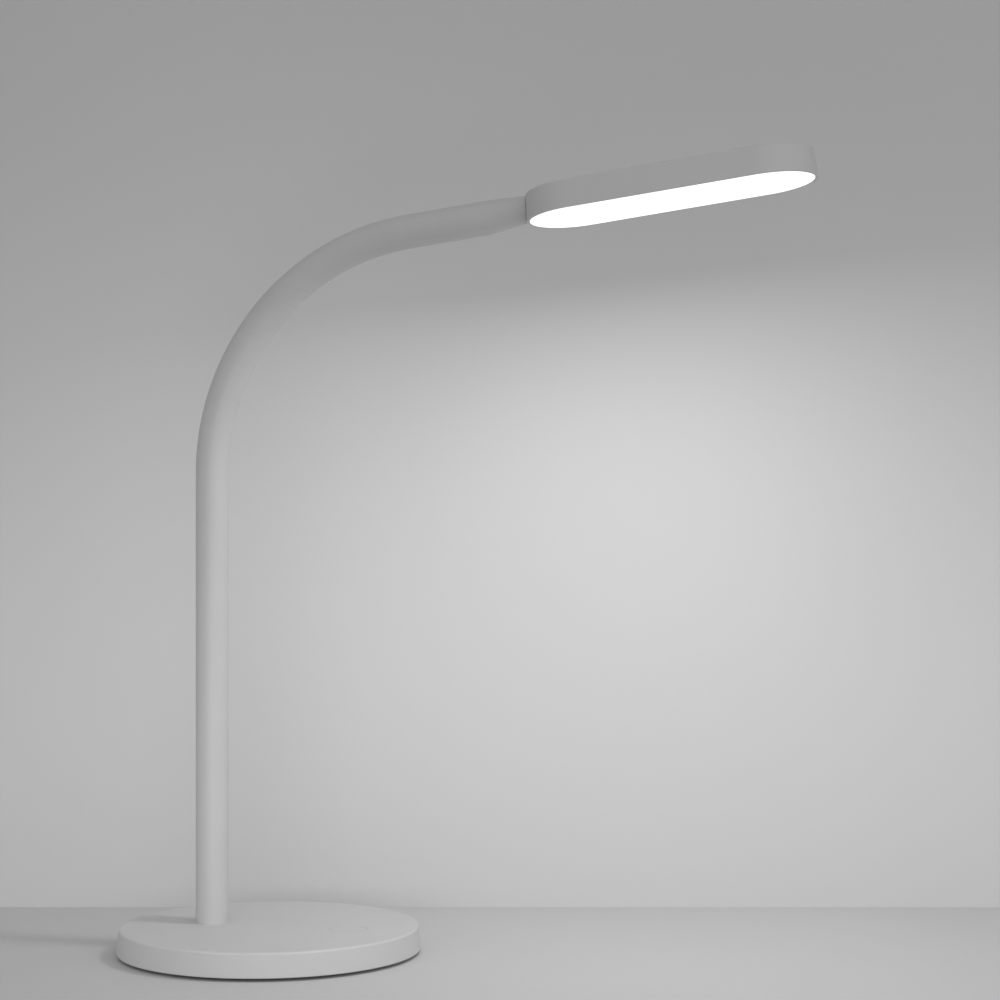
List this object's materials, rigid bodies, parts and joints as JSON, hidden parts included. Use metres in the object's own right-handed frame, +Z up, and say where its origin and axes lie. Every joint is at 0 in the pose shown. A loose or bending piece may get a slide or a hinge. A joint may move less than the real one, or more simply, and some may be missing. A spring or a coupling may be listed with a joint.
{
  "type": "desk lamp",
  "caption": "Rechargeable LED desk lamp with a round weighted base, a sleeved gooseneck and a flat round-ended head with a full-face lit panel.",
  "frame": {"origin": "centre of the base on the table", "axes": "+X from the pole towards the head, +Z up, the lamp's outside is alike on both sides of Y = 0"},
  "size_m": [0.3001, 0.13, 0.3326],
  "materials": {
    "shell": "fine matt moulding, off-white",
    "foot_rubber": "dull dark grey",
    "ballast_steel": "black coated plate",
    "zinc_steel": "bright zinc",
    "black_steel": "blackened",
    "spring_steel": "wound spring strip",
    "neck_skin": "soft satin skin, off-white",
    "lead_jacket": "soft jacket",
    "wire_jacket": "satin insulation",
    "cell_foil": "satin foil pouch",
    "board": "glossy solder mask",
    "socket_plastic": "ivory moulding",
    "inlet_steel": "plated sheet",
    "switch_plastic": "black moulding",
    "plate_aluminium": "rolled sheet",
    "strip_board": "white mask on metal board",
    "chip": "phosphor under clear resin",
    "sheet": "white film",
    "guide": "clear polished acrylic",
    "opal": "milky, lit from behind"
  },
  "bodies": {
    "base": {"base_shell": "shell", "base_plate": "shell", "plate_screws": "zinc_steel", "foot_pad": "foot_rubber", "ballast": "ballast_steel", "battery": "cell_foil", "control_board": "board", "board_sockets": "socket_plastic", "board_screws": "zinc_steel", "usb_socket": "inlet_steel", "key_switch": "switch_plastic", "key_board": "board", "key_board_screws": "zinc_steel", "battery_lead": "wire_jacket", "key_lead": "wire_jacket", "lower_ferrule": "zinc_steel", "clamp_washer": "zinc_steel", "clamp_nut": "zinc_steel", "neck_core_1": "spring_steel", "neck_sleeve_1": "neck_skin", "neck_lead_1": "lead_jacket"},
    "neck_1": {"neck_core_2": "spring_steel", "neck_sleeve_2": "neck_skin", "neck_lead_2": "lead_jacket"},
    "neck_2": {"neck_core_3": "spring_steel", "neck_sleeve_3": "neck_skin", "neck_lead_3": "lead_jacket"},
    "neck_3": {"neck_core_4": "spring_steel", "neck_sleeve_4": "neck_skin", "neck_lead_4": "lead_jacket"},
    "neck_4": {"neck_core_5": "spring_steel", "neck_sleeve_5": "neck_skin", "neck_lead_5": "lead_jacket"},
    "neck_5": {"neck_core_6": "spring_steel", "neck_sleeve_6": "neck_skin", "neck_lead_6": "lead_jacket"},
    "neck_6": {"neck_core_7": "spring_steel", "neck_sleeve_7": "neck_skin", "neck_lead_7": "lead_jacket"},
    "neck_7": {"neck_core_8": "spring_steel", "neck_sleeve_8": "neck_skin", "neck_lead_8": "lead_jacket"},
    "head": {"neck_core_9": "spring_steel", "neck_sleeve_9": "neck_skin", "neck_lead_9": "lead_jacket", "upper_ferrule": "zinc_steel", "head_shell": "shell", "grub_screws": "black_steel", "back_plate": "plate_aluminium", "back_plate_screws": "zinc_steel", "reflector_sheet": "sheet", "light_guide": "guide", "diffuser": "opal", "led_strips": "strip_board", "led_chips": "chip", "head_lead": "wire_jacket"},
    "key": {"power_key": "shell", "switch_plunger": "switch_plastic"}
  },
  "joints": [
    {"name": "neck_bend_1", "type": "hinge", "parent": "base", "child": "neck_1", "pos_m": [-0.02699, 0, 0.03649], "axis": [0, 1, 0], "range_deg": [-10, 10], "deforming": ["neck_sleeve_1", "neck_lead_1"]},
    {"name": "neck_sway_2", "type": "hinge", "parent": "neck_1", "child": "neck_2", "pos_m": [-0.02699, 0, 0.08348], "axis": [-1, 0, 0], "range_deg": [-18, 18], "deforming": ["neck_sleeve_2", "neck_lead_2"]},
    {"name": "neck_bend_3", "type": "hinge", "parent": "neck_2", "child": "neck_3", "pos_m": [-0.02699, 0, 0.13046], "axis": [0, 1, 0], "range_deg": [-10, 10], "deforming": ["neck_sleeve_3", "neck_lead_3"]},
    {"name": "neck_bend_4", "type": "hinge", "parent": "neck_3", "child": "neck_4", "pos_m": [-0.02699, 0, 0.17744], "axis": [0, 1, 0], "range_deg": [-10, 10], "deforming": ["neck_sleeve_4", "neck_lead_4"]},
    {"name": "neck_bend_5", "type": "hinge", "parent": "neck_4", "child": "neck_5", "pos_m": [-0.02538, 0, 0.22433], "axis": [0, 1, 0], "range_deg": [-20, 8], "deforming": ["neck_sleeve_5", "neck_lead_5"]},
    {"name": "neck_bend_6", "type": "hinge", "parent": "neck_5", "child": "neck_6", "pos_m": [-0.00681, 0, 0.26704], "axis": [0, 1, 0], "range_deg": [-20, 8], "deforming": ["neck_sleeve_6", "neck_lead_6"]},
    {"name": "neck_sway_7", "type": "hinge", "parent": "neck_6", "child": "neck_7", "pos_m": [0.02887, 0, 0.29696], "axis": [-0.4497, 0, 0.8932], "range_deg": [-18, 18], "deforming": ["neck_sleeve_7", "neck_lead_7"]},
    {"name": "neck_bend_8", "type": "hinge", "parent": "neck_7", "child": "head", "pos_m": [0.07411, 0, 0.30844], "axis": [0, 1, 0], "range_deg": [-25, 25], "deforming": ["neck_sleeve_8", "neck_lead_8", "neck_sleeve_9", "neck_lead_9"]},
    {"name": "key_press", "type": "slide", "parent": "base", "child": "key", "axis": [0, 0, -1], "range_m": [0, 0.0005], "stiffness_N_per_m": 2500}
  ]
}
